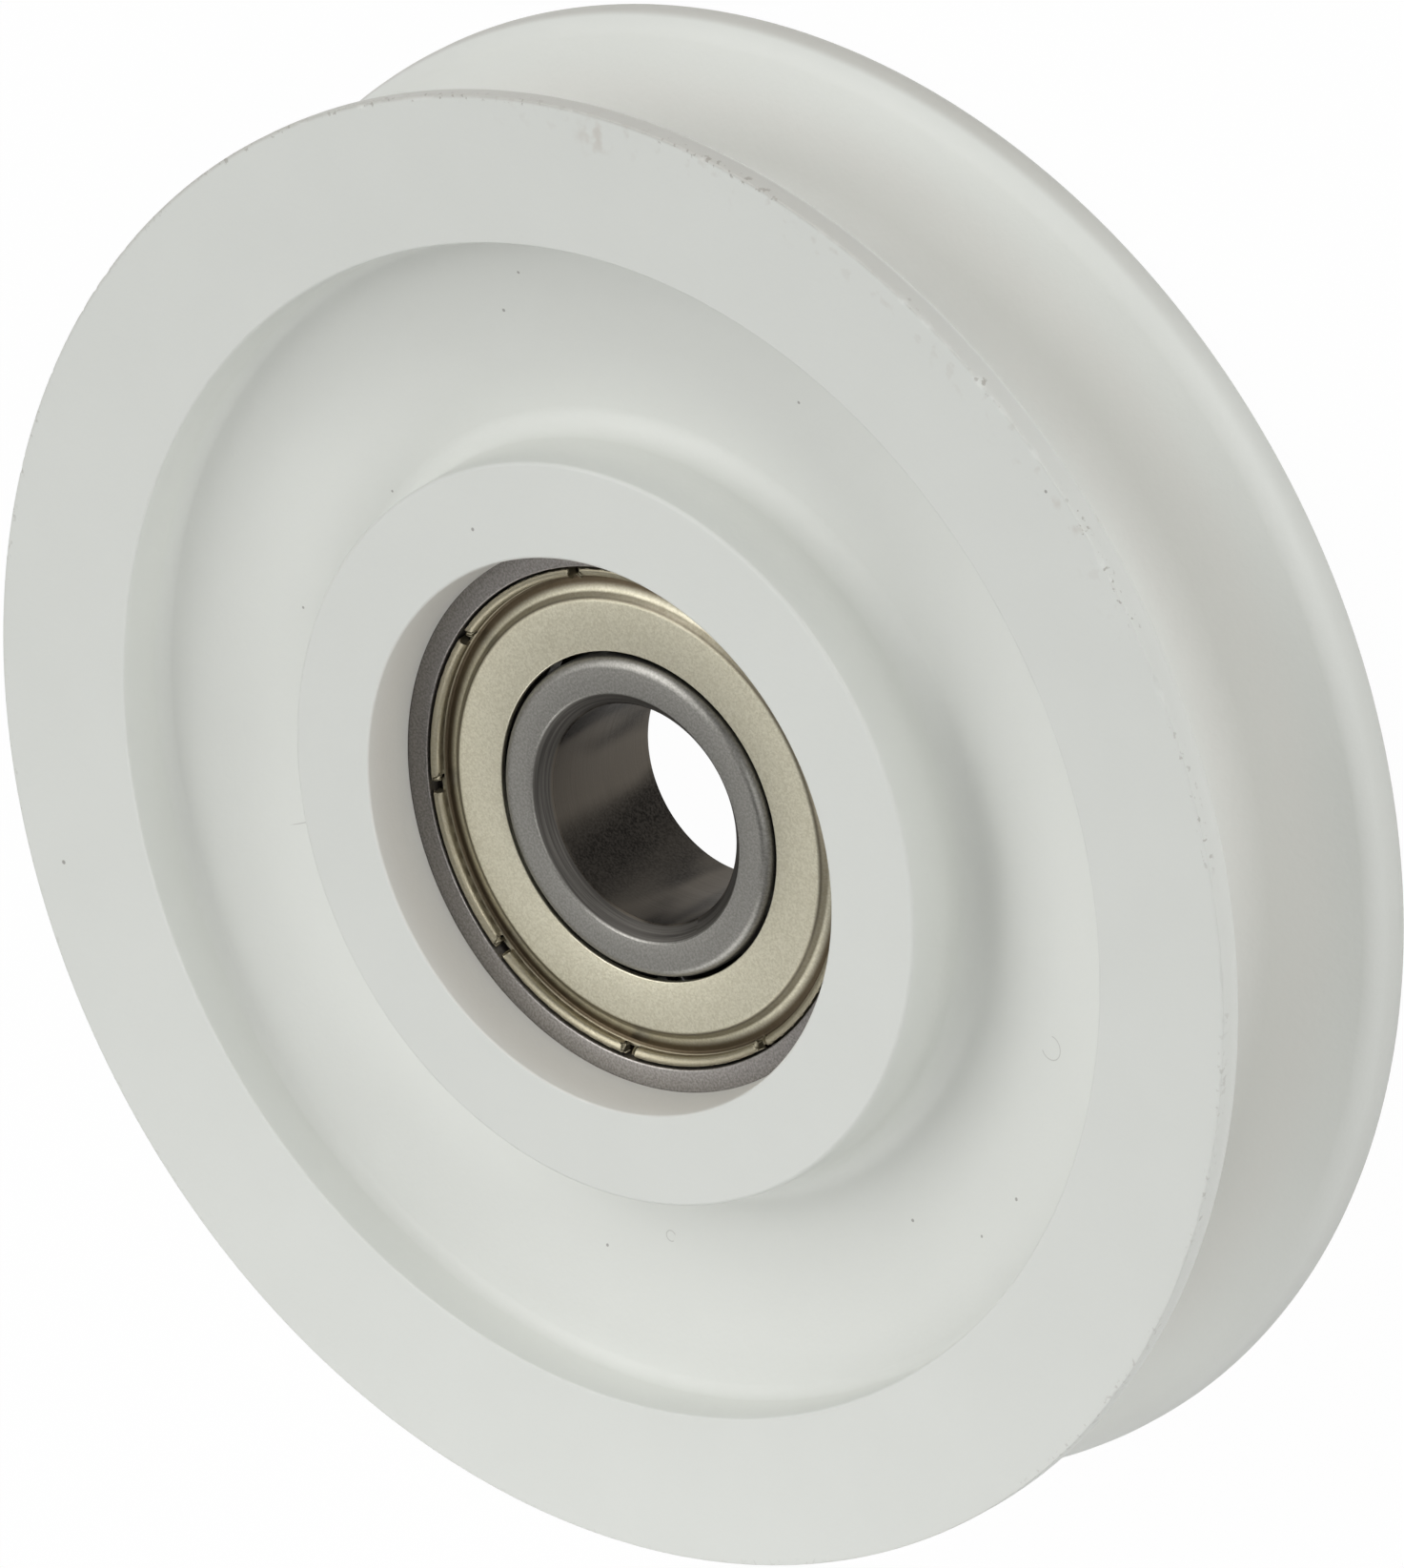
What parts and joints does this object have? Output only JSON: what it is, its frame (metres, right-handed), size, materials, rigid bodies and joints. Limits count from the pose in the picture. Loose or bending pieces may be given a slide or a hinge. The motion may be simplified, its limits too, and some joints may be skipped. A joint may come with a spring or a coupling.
{
  "type": "rope pulley",
  "caption": "White nylon rope pulley with a round-bottomed V groove, hollowed faces and a shielded ball bearing held in its hub.",
  "frame": {"origin": "centre of the bore at the rope groove's middle plane", "axes": "+Z along the bore axis, out of the face that the picture shows; the part lies flat"},
  "size_m": [0.0666, 0.0666, 0.014],
  "materials": {
    "nylon": "white moulded nylon, satin, with small specks and parting burrs",
    "ring_steel": "ground bearing steel",
    "shield_plate": "plated sheet, satin",
    "ball_steel": "polished steel",
    "cage_steel": "pressed sheet steel"
  },
  "bodies": {
    "inner_ring": {"bearing_inner_ring": "ring_steel"},
    "sheave": {"sheave": "nylon", "bearing_outer_ring": "ring_steel", "front_shield": "shield_plate", "back_shield": "shield_plate"},
    "cage": {"front_cage_half": "cage_steel", "back_cage_half": "cage_steel", "cage_rivet_1": "cage_steel", "cage_rivet_2": "cage_steel", "cage_rivet_3": "cage_steel", "cage_rivet_4": "cage_steel", "cage_rivet_5": "cage_steel", "cage_rivet_6": "cage_steel", "cage_rivet_7": "cage_steel"},
    "ball_1": {"ball_1": "ball_steel"},
    "ball_2": {"ball_2": "ball_steel"},
    "ball_3": {"ball_3": "ball_steel"},
    "ball_4": {"ball_4": "ball_steel"},
    "ball_5": {"ball_5": "ball_steel"},
    "ball_6": {"ball_6": "ball_steel"},
    "ball_7": {"ball_7": "ball_steel"}
  },
  "joints": [
    {"name": "sheave_spin", "type": "hinge", "parent": "inner_ring", "child": "sheave", "pos_m": [0, 0, 0.0005], "axis": [0, 0, 1], "continuous": true},
    {"name": "cage_spin", "type": "hinge", "parent": "inner_ring", "child": "cage", "pos_m": [0, 0, 0.0005], "axis": [0, 0, 1], "continuous": true},
    {"name": "ball_1_spin", "type": "hinge", "parent": "cage", "child": "ball_1", "pos_m": [0.00918, 0, 0.0005], "axis": [0, 0, 1], "continuous": true},
    {"name": "ball_2_spin", "type": "hinge", "parent": "cage", "child": "ball_2", "pos_m": [0.00572, 0.00717, 0.0005], "axis": [0, 0, 1], "continuous": true},
    {"name": "ball_3_spin", "type": "hinge", "parent": "cage", "child": "ball_3", "pos_m": [-0.00204, 0.00894, 0.0005], "axis": [0, 0, 1], "continuous": true},
    {"name": "ball_4_spin", "type": "hinge", "parent": "cage", "child": "ball_4", "pos_m": [-0.00827, 0.00398, 0.0005], "axis": [0, 0, 1], "continuous": true},
    {"name": "ball_5_spin", "type": "hinge", "parent": "cage", "child": "ball_5", "pos_m": [-0.00827, -0.00398, 0.0005], "axis": [0, 0, 1], "continuous": true},
    {"name": "ball_6_spin", "type": "hinge", "parent": "cage", "child": "ball_6", "pos_m": [-0.00204, -0.00894, 0.0005], "axis": [0, 0, 1], "continuous": true},
    {"name": "ball_7_spin", "type": "hinge", "parent": "cage", "child": "ball_7", "pos_m": [0.00572, -0.00717, 0.0005], "axis": [0, 0, 1], "continuous": true}
  ],
  "couplings": [
    {"joint": "cage_spin", "follows": "sheave_spin", "ratio": 0.62975},
    {"joint": "ball_1_spin", "follows": "sheave_spin", "ratio": 1.797},
    {"joint": "ball_2_spin", "follows": "sheave_spin", "ratio": 1.797},
    {"joint": "ball_3_spin", "follows": "sheave_spin", "ratio": 1.797},
    {"joint": "ball_4_spin", "follows": "sheave_spin", "ratio": 1.797},
    {"joint": "ball_5_spin", "follows": "sheave_spin", "ratio": 1.797},
    {"joint": "ball_6_spin", "follows": "sheave_spin", "ratio": 1.797},
    {"joint": "ball_7_spin", "follows": "sheave_spin", "ratio": 1.797}
  ]
}
